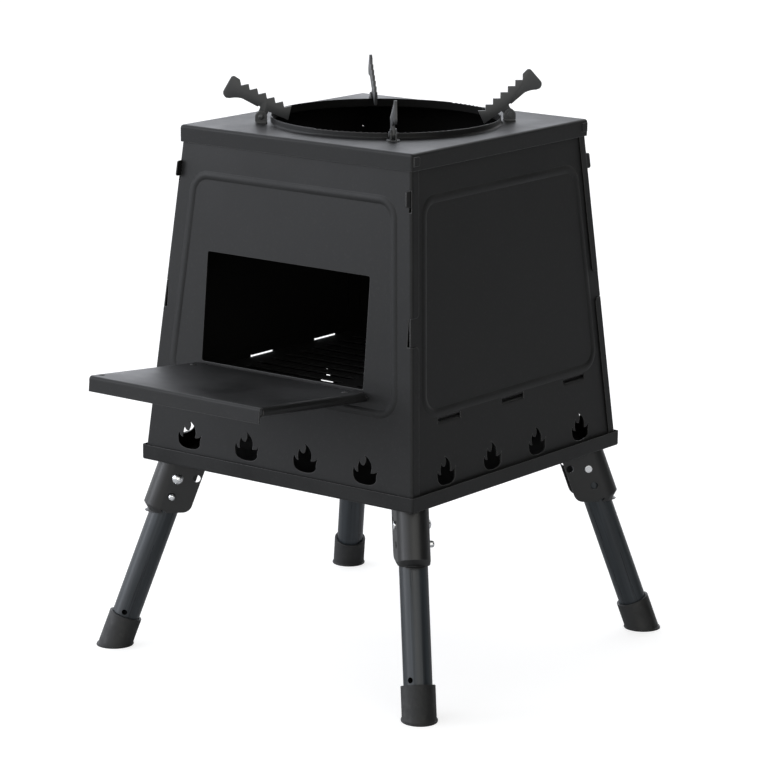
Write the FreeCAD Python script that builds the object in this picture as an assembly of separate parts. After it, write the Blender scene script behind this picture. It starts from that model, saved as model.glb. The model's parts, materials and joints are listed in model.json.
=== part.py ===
import FreeCAD, Part
import os
from math import acos, atan, cos, degrees, hypot, radians, sin, sqrt, tan

from FreeCAD import Placement, Rotation, Vector

# Folding wood stove, in millimetres. It stands on z = 0, centred on the z axis, front towards -Y.

# Sheet metal of the body
sheet = 1.2
fold_radius = 2.6
panel_play = 0.25
overrun = 30.0

# Legs: length runs from the pivot to the floor, along the tube
leg_length = 167.0
leg_splay_deg = 20.0
leg_fold_deg = 110.0
leg_diameter = 25.0
leg_wall = 1.2
leg_top = 6.5
leg_pivot_radius = 187.5
leg_pivot_drop = 17.5
running_play = 0.05

# Foot caps
cap_wall = 2.4
cap_height = 30.0
cap_sole = 6.0
cap_play = 0.1
cap_rim_radius = 1.0
cap_flange = 0.9
cap_flange_height = 1.6
drain_hole_diameter = 5.0
drain_hole_gap = 1.5
drain_turn_by_leg_deg = {"front_left": 73.0, "front_right": -39.0, "rear_right": 73.0, "rear_left": -39.0}

# Leg brackets, measured from the pivot across and along the leg; the foot is measured straight down
bracket_wall = 1.4
bracket_side_play = 0.4
bracket_back_reach = 20.0
bracket_inner_reach = 20.4
bracket_foot_drop = 31.2
bracket_back_drop = 31.5
bracket_waist_drop = 36.6
bracket_lip_drop = 39.2
bracket_lip_flare = 2.2
bracket_corner_radius = 9.0
bracket_rivet_inner = 19.5
bracket_rivet_outer = 9.5

# Rivets: the pivots of the legs, and those that hold the brackets
pivot_rivet_diameter = 5.0
pivot_head_diameter = 10.0
pivot_head_height = 2.6
pivot_tail_diameter = 7.0
pivot_tail_height = 1.6
fixing_rivet_diameter = 4.0
fixing_head_diameter = 8.0
fixing_head_height = 1.8
fixing_tail_diameter = 6.0
fixing_tail_height = 1.4

# Snap lock of a leg
lock_radius = 17.0
button_diameter = 6.0
button_proud = 4.5
button_hole_play = 0.5
button_flange_diameter = 8.4
button_flange_height = 1.0
button_flange_gap = 0.25
spring_thickness = 0.6
spring_width = 6.0
spring_pad = 12.0
spring_length = 34.0
spring_bend_radius = 2.0
spring_gap = 0.15

# Base tray
tray_width = 304.0
tray_depth = 315.0
tray_lip = 13.5
tray_play = 0.5
tray_fold_radius = 1.6
corner_radius = 2.0

# Lid and its collar
lid_width = 256.0
lid_depth = 262.5
lid_lip = 15.0
lid_play = 1.45
collar_diameter = 205.0
collar_height = 6.0
collar_root_radius = 1.8
lap_tab_width = 8.0
lap_tab_height = 8.0
lap_tab_thickness = 0.8
lap_tab_drop = 3.0
lap_tab_radius = 2.0

# Leaning wall panels; heights are measured up from the tray floor
panel_height = 299.7
flange_width = 10.0
notch_height = 24.3
notch_low = 138.3
notch_play = 0.4
notch_corner_radius = 4.0
hook_low = 255.9
hook_height = 13.5
hook_reach = 5.4
hook_corner_radius = 2.0
slot_height = 18.6
slot_play = 0.5

# Raised bead frame of a panel
bead_width = 7.4
bead_height = 0.9
bead_corner_radius = 16.0
bead_inset = 19.0
bead_low = 77.6
bead_high = 259.1

# Flame vents
flame_width = 27.0
flame_height = 25.5
front_flame_low = 15.5
side_flame_low = 13.2
flame_count = 4
front_flame_pitch = 65.6
side_flame_pitch = 68.0

# Lanced shelves that carry the grate, each under a lip of the wall that is pressed in
shelf_width = 33.0
shelf_reach = 5.2
shelf_pitch = 94.4
shelf_count = 3
shelf_top = 68.8
shelf_bend_radius = 1.4
window_height = 2.6
hood_height = 1.8
hood_depth = 1.2

# Fire grate
grate_sheet = 1.5
grate_side_gap = 2.4
grate_end_gap = 2.5
grate_skirt = 9.0
grate_slot_width = 8.0
grate_slot_length = 112.0
grate_slot_pitch = 20.0
grate_slot_rows = 12
grate_slot_bridge = 18.0

# Fuel opening
opening_width = 180.0
opening_low = 96.1
opening_height = 97.6
opening_corner_radius = 2.0

# Fuel door, measured out from the face of the front panel when open
door_width = 192.0
door_reach = 146.0
door_lip = 13.4
door_drop = 1.5
door_curl_radius = 4.4
door_curl_deg = 195.0
door_lip_inset_left = 4.6
door_lip_inset_right = 0.4
door_corner_slit = 1.2
door_gap = 0.3
door_hole_diameter = 6.0
door_hole_side = 8.0
door_hole_front = 12.0

# Hinges of the door
hinge_pin_diameter = 3.0
hinge_strap = 1.2
hinge_strap_width = 8.0
hinge_strap_length = 24.0
hinge_strap_inset = 11.5
hinge_ear = 1.4
hinge_ear_radius = 3.0
hinge_end_play = 0.3
hinge_notch_play = 0.5
hinge_head_diameter = 4.8
hinge_head_height = 1.0
strap_rivet_diameter = 3.0
strap_rivet_head_diameter = 6.0
strap_rivet_head_height = 1.2
strap_rivet_reach = 18.0

# Pot supports, drawn with s out along the arm and n up from its pivot
arm_thickness = 2.5
arm_pivot_radius = 111.0
arm_pivot_height = 5.6
arm_boss_radius = 4.0
arm_inner_reach = 23.2
arm_crest_reach = 20.8
arm_bar_low = 6.7
arm_bar_high = 19.4
arm_tooth_pitch = 8.55
arm_tooth_count = 6
arm_tooth_rise = 0.53
arm_tooth_tilt_deg = 36.0
arm_tip_reach = 38.3
arm_tip_height = 23.8
arm_tip_radius = 2.8
arm_bulb_reach = 34.9
arm_bulb_height = 7.9
arm_bulb_radius = 4.9
arm_arch_reach = 21.9
arm_arch_height = 8.0
arm_arch_rise = 0.7
arm_notch_reach = 5.4
arm_notch_width = 2.4
arm_rest_deg = {"front_left": 24.0, "front_right": 18.0, "rear_right": 36.0, "rear_left": 25.0}
arm_turn_deg = {"front_left": 1.0, "front_right": 4.4, "rear_right": 1.0, "rear_left": 1.6}

# Clevis brackets and pins of the pot supports
clevis_wall = 1.2
clevis_length = 10.4
clevis_base_width = 11.0
clevis_side_play = 0.35
clevis_bend_radius = 1.5
clevis_top_radius = 5.2
arm_pin_diameter = 3.0
arm_pin_head_diameter = 5.4
arm_pin_head_height = 1.2

# Outline of a flame in shares of its width and height: point reached, then the control of the curve to it
flame_shares = [
    ((-0.50, 0.28), (-0.47, 0.00)),
    ((-0.47, 0.55), (-0.54, 0.43)),
    ((-0.31, 0.39), (-0.42, 0.38)),
    ((-0.27, 0.79), (-0.37, 0.60)),
    ((-0.10, 0.64), (-0.22, 0.63)),
    ((-0.08, 1.00), (0.03, 0.82)),
    ((0.20, 0.42), (0.31, 0.78)),
    ((0.50, 0.57), (0.38, 0.40)),
    ((0.43, 0.20), (0.40, 0.38)),
    ((0.00, 0.00), (0.37, 0.00)),
]

# Heights and half widths that follow from the sizes above
splay = radians(leg_splay_deg)
pivot_z = leg_length * cos(splay)
tray_z = pivot_z + leg_pivot_drop
foot_z = tray_z + sheet
head_z = foot_z + panel_height
lid_z = head_z + sheet
half_x_low = tray_width / 2 - sheet - tray_play
half_y_low = tray_depth / 2 - sheet - tray_play
half_x_high = lid_width / 2 - sheet - lid_play
half_y_high = lid_depth / 2 - sheet - lid_play
slope_x = (half_x_low - half_x_high) / panel_height
slope_y = (half_y_low - half_y_high) / panel_height
skew_x = hypot(1, slope_x)
skew_y = hypot(1, slope_y)
lean_x = atan(slope_x)
lean_y = atan(slope_y)
side_inset = (sheet + panel_play) * skew_x
end_inset = (fold_radius + panel_play) * skew_y

X_AXIS = Vector(1, 0, 0)
Y_AXIS = Vector(0, 1, 0)
Z_AXIS = Vector(0, 0, 1)
CORNERS = {"front_left": (-1, -1), "front_right": (1, -1), "rear_right": (1, 1), "rear_left": (-1, 1)}
CORNER_TURN_DEG = {"front_left": 225.0, "front_right": 315.0, "rear_right": 45.0, "rear_left": 135.0}


def half_x(height):
    """Outer half width of the body, at a height above the tray floor."""
    return half_x_low - slope_x * height


def half_y(height):
    """Outer half depth of the body, at a height above the tray floor."""
    return half_y_low - slope_y * height


def block(x_range, y_range, z_range):
    low = Vector(x_range[0], y_range[0], z_range[0])
    return Part.makeBox(x_range[1] - x_range[0], y_range[1] - y_range[0], z_range[1] - z_range[0], low)


def rod(diameter, length, base=Vector(), axis=Z_AXIS):
    return Part.makeCylinder(diameter / 2, length, base, axis)


def prism(points, run):
    """Solid of a flat polygon pushed along run."""
    return Part.Face(Part.makePolygon(points + points[:1])).extrude(run)


def fuse(shapes):
    """One solid of shapes that overlap or share a face."""
    return shapes[0].multiFuse(shapes[1:]).removeSplitter() if len(shapes) > 1 else shapes[0]


def moved(shape, placement):
    copy = shape.copy()
    copy.Placement = placement.multiply(copy.Placement)
    return copy


def turned(shape, degrees_turned, axis=Z_AXIS):
    return moved(shape, Placement(Vector(), Rotation(axis, degrees_turned)))


def shifted(shape, run):
    return moved(shape, Placement(run, Rotation()))


def line(start, end):
    return Part.LineSegment(start, end).toShape()


def arc(start, middle, end):
    return Part.Arc(start, middle, end).toShape()


def corner_arc(point, before, after, radius):
    """Ends and middle of the arc that rounds the corner at point."""
    back = (before - point).normalize()
    ahead = (after - point).normalize()
    half = acos(back.dot(ahead)) / 2
    reach = radius / tan(half)
    middle = point + (back + ahead).normalize() * (radius / sin(half) - radius)
    return point + back * reach, middle, point + ahead * reach


def rounded_loop(points, radius):
    """Closed wire through points, with every corner rounded."""
    arcs = []
    for index, point in enumerate(points):
        arcs.append(corner_arc(point, points[index - 1], points[(index + 1) % len(points)], radius))
    edges = []
    for index, (start, middle, end) in enumerate(arcs):
        edges.append(arc(start, middle, end))
        edges.append(line(end, arcs[(index + 1) % len(arcs)][0]))
    return Part.Wire(edges)


def rounded_line(points, radius):
    """Open wire through points, with its inner corners rounded."""
    edges = []
    start = points[0]
    for before, point, after in zip(points, points[1:], points[2:]):
        arc_start, middle, arc_end = corner_arc(point, before, after, radius)
        edges += [line(start, arc_start), arc(arc_start, middle, arc_end)]
        start = arc_end
    edges.append(line(start, points[-1]))
    return Part.Wire(edges)


def strip(points, radius, thickness, run):
    """Bent sheet: a line with rounded corners, thickened on the inside of its bends and pushed along run."""
    wire = rounded_line(points, radius)
    faces = [wire.makeOffset2D(offset, 0, True, True) for offset in (thickness, -thickness)]
    return min(faces, key=lambda face: face.Area).extrude(run)


def fillet(shape, radius, chosen):
    """Rounds the edges for which chosen(edge, its box) holds."""
    edges = [edge for edge in shape.Edges if chosen(edge, edge.BoundBox)]
    return shape.makeFillet(radius, edges)


def dome(radius, height):
    """Low round head that sits on z = 0."""
    ball = (radius * radius + height * height) / (2 * height)
    sphere = Part.makeSphere(ball, Vector(0, 0, height - ball))
    return sphere.common(rod(2 * radius, height))


def rivet(diameter, grip, head_diameter, head_height, tail_diameter, tail_height):
    """Rivet along z: the head starts at z = grip, and the tail is under z = 0."""
    shank = rod(diameter, grip + tail_height + head_height / 2, Vector(0, 0, -tail_height))
    head = shifted(dome(head_diameter / 2, head_height), Vector(0, 0, grip))
    tail = rod(tail_diameter, tail_height, Vector(0, 0, -tail_height))
    tail = fillet(tail, tail_height / 3, lambda edge, box: box.ZMax < -tail_height / 2)
    return fuse([shank, head, tail])


def corner_place(name, radius, height):
    """Frame of a corner of the stove: x runs outwards along the diagonal."""
    turn = Rotation(Z_AXIS, CORNER_TURN_DEG[name])
    return Placement(turn.multVec(X_AXIS * radius) + Z_AXIS * height, turn)


def rounded_tub(width, depth, height, wall, radius, corner):
    """Open tub on z = 0, with rounded folds at its floor and rounded corners."""

    def hull(inset, low, fold, upright):
        half_w = width / 2 - inset
        half_d = depth / 2 - inset
        body = block((-half_w, half_w), (-half_d, half_d), (low, height if low == 0 else height + overrun))
        body = fillet(body, upright, lambda edge, box: box.ZLength > height / 2)
        return fillet(body, fold, lambda edge, box: box.ZMax < low + sheet / 2)

    return hull(0, 0, radius, corner).cut(hull(wall, wall, radius - wall, corner - wall))


def make_base_tray():
    tray = rounded_tub(tray_width, tray_depth, tray_lip, sheet, tray_fold_radius, corner_radius)
    tray = shifted(tray, Z_AXIS * tray_z)
    for name in CORNERS:
        for reach in (-bracket_rivet_inner, bracket_rivet_outer):
            hole = rod(fixing_rivet_diameter + 2 * running_play, 2 * overrun, Vector(reach, 0, -overrun))
            tray = tray.cut(moved(hole, corner_place(name, leg_pivot_radius, tray_z)))
    return tray


def make_collar():
    """Upturned rim round the lid's hole, with a rounded root."""
    outer = collar_diameter / 2
    inner = outer - sheet
    root = outer + collar_root_radius
    profile = Part.Wire([
        line(Vector(inner, 0, -sheet), Vector(root, 0, -sheet)),
        line(Vector(root, 0, -sheet), Vector(root, 0, 0)),
        arc(Vector(root, 0, 0), Vector(root - collar_root_radius * sin(radians(45)), 0,
                                       collar_root_radius * (1 - cos(radians(45)))),
            Vector(outer, 0, collar_root_radius)),
        line(Vector(outer, 0, collar_root_radius), Vector(outer, 0, collar_height - sheet / 2)),
        arc(Vector(outer, 0, collar_height - sheet / 2), Vector(outer - sheet / 2, 0, collar_height),
            Vector(inner, 0, collar_height - sheet / 2)),
        line(Vector(inner, 0, collar_height - sheet / 2), Vector(inner, 0, -sheet)),
    ])
    return Part.Face(profile).revolve(Vector(), Z_AXIS, 360)


def make_lid():
    tub = rounded_tub(lid_width, lid_depth, lid_lip, sheet, fold_radius, corner_radius)
    lid = moved(tub, Placement(Vector(), Rotation(X_AXIS, 180)))
    lid = lid.cut(rod(collar_diameter, 2 * overrun, Vector(0, 0, -overrun)))
    tab = block((0, lap_tab_thickness), (-lap_tab_width, 0), (-lap_tab_height, 0))
    tab = fillet(tab, lap_tab_radius, lambda edge, box: box.YMax < -lap_tab_width / 2 and box.XLength > 0)
    pieces = [lid, make_collar()]
    for side_x, side_y in CORNERS.values():
        lap = tab if side_y > 0 else tab.mirror(Vector(), Y_AXIS)
        lap = lap if side_x > 0 else lap.mirror(Vector(), X_AXIS)
        at = Vector(side_x * lid_width / 2, side_y * (lid_depth / 2 - corner_radius), -lap_tab_drop)
        pieces.append(shifted(lap, at))
    return shifted(fuse(pieces), Z_AXIS * lid_z)


def body_hull(inset):
    """Leaning body, shrunk by inset square to its walls, with rounded upright corners."""
    wires = []
    for height, z in ((0, foot_z), (panel_height, head_z)):
        x = half_x(height) - inset * skew_x
        y = half_y(height) - inset * skew_y
        points = [Vector(-x, -y, z), Vector(x, -y, z), Vector(x, y, z), Vector(-x, y, z)]
        wires.append(rounded_loop(points, fold_radius - inset))
    return Part.makeLoft(wires, True, True)


def panel_place(turn_deg, half_width, lean):
    """Frame on a wall's face: x to the right seen from outside, y up the face, z outwards."""
    stand = Placement(Vector(0, -half_width, foot_z), Rotation(X_AXIS, 90 - degrees(lean)))
    return Placement(Vector(), Rotation(Z_AXIS, turn_deg)).multiply(stand)


def flame(width, height):
    """Flame outline with its foot at the origin, made of curves between its tips and hollows."""
    edges = []
    start = Vector()
    for (x_share, y_share), (control_x_share, control_y_share) in flame_shares:
        end = Vector(x_share * width, y_share * height, 0)
        control = Vector(control_x_share * width, control_y_share * height, 0)
        curve = Part.BezierCurve()
        curve.setPoles([start, control, end])
        edges.append(curve.toShape())
        start = end
    return Part.Face(Part.Wire(edges))


def flame_row(pitch, low, lean):
    """Cutters of a row of flames, on a panel's own face."""
    cutter = flame(flame_width, flame_height).extrude(Z_AXIS * 2 * overrun)
    row = []
    for index in range(flame_count):
        offset = (index - (flame_count - 1) / 2) * pitch
        row.append(shifted(cutter, Vector(offset, low / cos(lean), -overrun)))
    return Part.makeCompound(row)


def bead_path(half_at, lean):
    """Centre line of a bead frame that keeps one distance from the panel's upright edges."""
    points = []
    for height, side in ((bead_low, -1), (bead_low, 1), (bead_high, 1), (bead_high, -1)):
        points.append(Vector(side * (half_at(height) - bead_inset), height / cos(lean), 0))
    return rounded_loop(points, bead_corner_radius)


def bead(path, width, low, foot, crown):
    """Rib along path: flat from low to foot, arched over to crown."""
    start = path.Edges[1].valueAt(path.Edges[1].FirstParameter)
    left = start - Y_AXIS * (width / 2)
    right = start + Y_AXIS * (width / 2)
    profile = Part.Wire([
        line(left + Z_AXIS * low, right + Z_AXIS * low),
        line(right + Z_AXIS * low, right + Z_AXIS * foot),
        arc(right + Z_AXIS * foot, start + Z_AXIS * crown, left + Z_AXIS * foot),
        line(left + Z_AXIS * foot, left + Z_AXIS * low),
    ])
    return path.makePipeShell([profile], True, True)


def press_bead(panel, place, half_at, lean):
    """Presses the bead frame into a panel: a rib outside and its groove inside."""
    path = bead_path(half_at, lean)
    rib = bead(path, bead_width, -sheet / 2, 0, bead_height)
    groove = bead(path, bead_width - 2 * bead_height, -2 * sheet, -sheet, bead_height - sheet)
    return panel.fuse(moved(rib, place)).cut(moved(groove, place)).removeSplitter()


def make_end_panel(turn_deg):
    """Front or rear wall: a leaning face, with flanges that lap over the side walls."""
    slab = prism([
        Vector(-tray_width, -half_y(0) - overrun, foot_z),
        Vector(-tray_width, -half_y(0) + flange_width, foot_z),
        Vector(-tray_width, -half_y(panel_height) + flange_width, head_z),
        Vector(-tray_width, -half_y(panel_height) - overrun, head_z),
    ], X_AXIS * 2 * tray_width)
    panel = body_hull(0).cut(body_hull(sheet)).common(slab)
    low = foot_z + notch_low
    notch_depth = 2 * side_inset + notch_play
    for side in (-1, 1):
        edge = half_x(notch_low + notch_height)
        notch = block((edge - notch_depth, edge + overrun), (-tray_depth, 0), (low, low + notch_height))
        panel = panel.cut(notch if side > 0 else notch.mirror(Vector(), X_AXIS))
        panel = panel.cut(hook_slot(side))
    flange_edge = -half_y(notch_low) + flange_width - sheet

    def is_flange_corner(edge, box):
        at_notch = abs(box.Center.z - low) < sheet or abs(box.Center.z - low - notch_height) < sheet
        at_end = box.YMin > flange_edge - flange_width / 4
        return at_notch and at_end and box.ZLength < sheet and box.YLength < sheet

    panel = fillet(panel, notch_corner_radius, is_flange_corner)
    place = panel_place(0, half_y_low, lean_y)
    panel = press_bead(panel, place, half_x, lean_y)
    panel = panel.cut(moved(flame_row(front_flame_pitch, front_flame_low, lean_y), place))
    return turned(panel, turn_deg)


def hook_slot(side):
    """Slot in an end wall that a side wall's hook drops into."""
    outer_gap = (sheet - slot_play / 2) * skew_x
    inner_gap = (2 * sheet + panel_play + slot_play) * skew_x
    top = hook_low + hook_height + slot_play
    low = top - slot_height
    outside = -half_y(0) - overrun
    points = []
    for height, gap in ((low, outer_gap), (low, inner_gap), (top, inner_gap), (top, outer_gap)):
        points.append(Vector(side * (half_x(height) - gap), outside, foot_z + height))
    return prism(points, Y_AXIS * (fold_radius - half_y(top) - outside))


def make_front_panel():
    panel = make_end_panel(0)
    place = panel_place(0, half_y_low, lean_y)
    low = opening_low / cos(lean_y)
    half = opening_width / 2
    points = [Vector(-half, low, -overrun), Vector(half, low, -overrun),
              Vector(half, low + opening_height, -overrun), Vector(-half, low + opening_height, -overrun)]
    opening = Part.Face(rounded_loop(points, opening_corner_radius)).extrude(Z_AXIS * 2 * overrun)
    panel = panel.cut(moved(opening, place))
    ears = [moved(hinge_ear_shape(side), hinge_place()) for side in (-1, 1)]
    return panel.multiFuse(ears).removeSplitter()


def make_side_panel(side):
    """Side wall: a flat sheet inside the flanges, with hooks, notch tabs, vents and shelves."""
    outline = []

    def edge(height, proud):
        return half_y(height) - end_inset if proud is None else half_y(height) + proud

    tab_low = notch_low + notch_play
    tab_high = notch_low + notch_height - notch_play
    steps = [(0, None), (tab_low, None), (tab_low, 0), (tab_high, 0), (tab_high, None), (hook_low, None),
             (hook_low, hook_reach), (hook_low + hook_height, hook_reach), (hook_low + hook_height, None),
             (panel_height, None)]
    for height, proud in steps:
        outline.append(Vector(0, edge(height, proud), foot_z + height))
    outline += [Vector(0, -point.y, point.z) for point in reversed(outline)]
    slab = prism([
        Vector(half_x(0) - side_inset, 0, foot_z), Vector(half_x(0) - side_inset - sheet * skew_x, 0, foot_z),
        Vector(half_x(panel_height) - side_inset - sheet * skew_x, 0, head_z),
        Vector(half_x(panel_height) - side_inset, 0, head_z),
    ], Y_AXIS * 2 * tray_depth)
    slab = shifted(slab, -Y_AXIS * tray_depth)
    panel = slab.common(prism(outline, X_AXIS * tray_width))

    def is_hook_corner(edge, box):
        at_hook = box.ZMin > foot_z + hook_low - sheet and box.ZMax < foot_z + hook_low + hook_height + sheet
        return at_hook and box.ZLength < sheet and abs(box.Center.y) > half_y(hook_low) + hook_reach / 2

    panel = fillet(panel, hook_corner_radius, is_hook_corner)
    place = panel_place(90, half_x_low - side_inset, lean_x)
    panel = press_bead(panel, place, half_y, lean_x)
    panel = panel.cut(moved(flame_row(side_flame_pitch, side_flame_low, lean_x), place))
    shelves = []
    for index in range(shelf_count):
        along = (index - (shelf_count - 1) / 2) * shelf_pitch
        panel = panel.cut(shelf_window(along))
        shelves += [shelf(along), hood(along)]
    panel = panel.multiFuse(shelves).removeSplitter()
    return panel if side > 0 else panel.mirror(Vector(), X_AXIS)


def shelf_window(along):
    """Place of a lance in the right side wall: its shelf, the gap over it, and the pressed lip."""
    low = shelf_top - sheet - shelf_bend_radius
    face = half_x(shelf_top) - side_inset
    y_range = (along - shelf_width / 2, along + shelf_width / 2)
    z_range = (foot_z + low, foot_z + shelf_top + window_height + hood_height)
    return block((face - sheet - overrun / 2, face + overrun), y_range, z_range)


def hood(along):
    """Lip of the right side wall over a lance, sloping inwards to its lower edge."""
    low = shelf_top + window_height
    high = low + hood_height
    wall = X_AXIS * sheet * skew_x
    upper = Vector(half_x(high) - side_inset, along - shelf_width / 2, foot_z + high)
    lower = Vector(half_x(low) - side_inset - hood_depth, along - shelf_width / 2, foot_z + low)
    return prism([upper, lower, lower - wall, upper - wall], Y_AXIS * shelf_width)


def shelf(along):
    """Tongue of the right side wall, bent in level at the window's foot."""
    outer = shelf_bend_radius + sheet
    low = shelf_top - outer
    start = Vector(half_x(low - sheet) - side_inset, 0, foot_z + low - sheet)
    corner = Vector(half_x(shelf_top) - side_inset, 0, foot_z + shelf_top)
    end = Vector(corner.x - sheet - shelf_reach, 0, foot_z + shelf_top)
    arc_start, middle, arc_end = corner_arc(corner, start, end, outer)
    inside_start, inside_middle, inside_end = corner_arc(
        corner + Vector(-sheet, 0, -sheet), start + Vector(-sheet, 0, 0), end + Vector(0, 0, -sheet),
        shelf_bend_radius)
    profile = Part.Wire([
        line(start, arc_start), arc(arc_start, middle, arc_end), line(arc_end, end),
        line(end, end - Z_AXIS * sheet), line(end - Z_AXIS * sheet, inside_end),
        arc(inside_end, inside_middle, inside_start), line(inside_start, start - X_AXIS * sheet),
        line(start - X_AXIS * sheet, start),
    ])
    return Part.Face(profile).extrude(Y_AXIS * shelf_width).translated(Vector(0, along - shelf_width / 2, 0))


def make_grate():
    """Slotted plate with turned-down ends, lying on the shelves of both side walls."""
    half_width = half_x(shelf_top) - side_inset - sheet * skew_x - grate_side_gap
    half_depth = half_y(shelf_top) - sheet * skew_y - grate_end_gap
    top = foot_z + shelf_top + grate_sheet
    path = [Vector(-half_width, -half_depth, top - grate_skirt), Vector(-half_width, -half_depth, top),
            Vector(-half_width, half_depth, top), Vector(-half_width, half_depth, top - grate_skirt)]
    plate = strip(path, fold_radius, grate_sheet, X_AXIS * 2 * half_width)
    end = grate_slot_width / 2
    slot = block((end, grate_slot_length - end), (-end, end), (-overrun, overrun))
    ends = [rod(grate_slot_width, 2 * overrun, Vector(x, 0, -overrun)) for x in (end, grate_slot_length - end)]
    slot = fuse([slot] + ends)
    slots = []
    for row in range(grate_slot_rows):
        y = (row - (grate_slot_rows - 1) / 2) * grate_slot_pitch
        for x in (grate_slot_bridge / 2, -grate_slot_bridge / 2 - grate_slot_length):
            slots.append(shifted(slot, Vector(x, y, top)))
    return plate.cut(Part.makeCompound(slots))


# Door hinge: the pin lies below the plate of the open door, in front of the front panel
hinge_knuckle_radius = hinge_pin_diameter / 2 + running_play + hinge_strap
hinge_plate_top = hinge_knuckle_radius + sheet
hinge_pin_out = hinge_plate_top + door_gap
hinge_x = door_width / 2 - hinge_strap_inset
door_plate_back = sqrt((hinge_pin_out - door_gap / 2) ** 2 - hinge_plate_top ** 2)
door_front = door_reach - hinge_pin_out


def hinge_place():
    """Frame on the hinge pin: x to the right, y from the open door's front to its back, z off its top."""
    up_face = opening_low / cos(lean_y) - door_drop - hinge_plate_top
    face = panel_place(0, half_y_low, lean_y)
    return Placement(face.multVec(Vector(0, up_face, hinge_pin_out)), Rotation(X_AXIS, -degrees(lean_y)))


def hinge_ear_shape(side):
    """Ear of the front panel that holds a hinge pin."""
    ear = fuse([rod(2 * hinge_ear_radius, hinge_ear, Vector(), X_AXIS),
                block((0, hinge_ear), (0, hinge_pin_out + sheet / 2), (-hinge_ear_radius, hinge_ear_radius))])
    ear = ear.cut(rod(hinge_pin_diameter + 2 * running_play, 2 * overrun, -X_AXIS * overrun, X_AXIS))
    ear = shifted(ear, X_AXIS * (hinge_x - hinge_strap_width / 2 - hinge_end_play - hinge_ear))
    return ear if side > 0 else ear.mirror(Vector(), X_AXIS)


def make_door():
    """Open door: plate with rolled sides and a deep front lip, in the frame of its hinge."""
    half = door_width / 2
    flat = half - door_curl_radius
    top = hinge_plate_top
    curl_centre = Vector(flat, 0, top - door_curl_radius)
    turn = radians(door_curl_deg)
    plate_front = fold_radius - door_front
    curl_front = plate_front + 2 * door_corner_slit
    stop_back = hinge_pin_out - door_gap
    pieces = [block((-flat, flat), (plate_front, door_plate_back), (top - sheet, top))]
    for side in (-1, 1):
        curl = curl_face(curl_centre, turn).extrude(Y_AXIS * (stop_back - curl_front))
        curl = shifted(curl, Y_AXIS * curl_front)
        curl = curl.cut(block((0, door_width), (door_plate_back, 2 * stop_back), (curl_centre.z, 2 * top)))
        pieces.append(curl if side > 0 else curl.mirror(Vector(), X_AXIS))
    left = door_lip_inset_left - half
    path = [Vector(left, plate_front + door_corner_slit, top), Vector(left, -door_front, top),
            Vector(left, -door_front, top - door_lip)]
    lip = strip(path, fold_radius, sheet, X_AXIS * (half - door_lip_inset_right - left))
    door = fuse(pieces + [lip])
    for side in (-1, 1):
        inner = hinge_x - hinge_strap_width / 2 - hinge_end_play - hinge_ear - hinge_notch_play
        width = hinge_ear + 2 * hinge_notch_play
        depth = hinge_ear_radius + hinge_notch_play
        notch = block((inner, inner + width), (-depth, overrun), (top - 2 * sheet, top + sheet))
        rivet_y = hinge_pin_out - strap_rivet_reach
        hole = rod(strap_rivet_diameter + 2 * running_play, overrun, Vector(hinge_x, rivet_y, 0))
        for cutter in (notch, hole):
            door = door.cut(cutter if side > 0 else cutter.mirror(Vector(), X_AXIS))
    hang = Vector(door_hole_side - half, door_hole_front - door_front, top - 2 * sheet)
    return moved(door.cut(rod(door_hole_diameter, 4 * sheet, hang)), hinge_place())


def curl_face(centre, turn):
    """Section of a rolled edge that starts level at the top and turns outwards and under."""

    def at(radius, angle):
        return centre + Vector(radius * sin(angle), 0, radius * cos(angle))

    outer = door_curl_radius
    inner = door_curl_radius - sheet
    return Part.Face(Part.Wire([
        arc(at(outer, 0), at(outer, turn / 2), at(outer, turn)),
        line(at(outer, turn), at(inner, turn)),
        arc(at(inner, turn), at(inner, turn / 2), at(inner, 0)),
        line(at(inner, 0), at(outer, 0)),
    ]))


def make_hinge_straps():
    """Leaf under the door at each hinge, curled into a knuckle round the pin."""
    straps = []
    top = hinge_knuckle_radius
    low = hinge_x - hinge_strap_width / 2
    bore = hinge_pin_diameter / 2 + running_play
    x_range = (low, low + hinge_strap_width)
    leaf = block(x_range, (hinge_pin_out - hinge_strap_length, 0), (top - hinge_strap, top))
    knuckle = rod(2 * hinge_knuckle_radius, hinge_strap_width, X_AXIS * low, X_AXIS)
    strap = fuse([leaf, knuckle]).cut(rod(2 * bore, hinge_strap_width, X_AXIS * low, X_AXIS))
    rivet_y = hinge_pin_out - strap_rivet_reach
    strap = strap.cut(rod(strap_rivet_diameter + 2 * running_play, 2 * top, Vector(hinge_x, rivet_y, 0)))
    for side in (-1, 1):
        straps.append(strap if side > 0 else strap.mirror(Vector(), X_AXIS))
    return moved(Part.makeCompound(straps), hinge_place())


def make_hinge_pins():
    """Headed pin of each hinge, through the knuckle and the ear."""
    pins = []
    outer = hinge_x + hinge_strap_width / 2 + hinge_end_play
    inner = hinge_x - hinge_strap_width / 2 - hinge_end_play - hinge_ear
    ends = (inner - hinge_head_height, outer)
    shank = rod(hinge_pin_diameter, outer - ends[0], X_AXIS * ends[0], X_AXIS)
    heads = [rod(hinge_head_diameter, hinge_head_height, X_AXIS * x, X_AXIS) for x in ends]
    pin = fuse([shank] + heads)
    for side in (-1, 1):
        pins.append(pin if side > 0 else pin.mirror(Vector(), X_AXIS))
    return moved(Part.makeCompound(pins), hinge_place())


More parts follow.
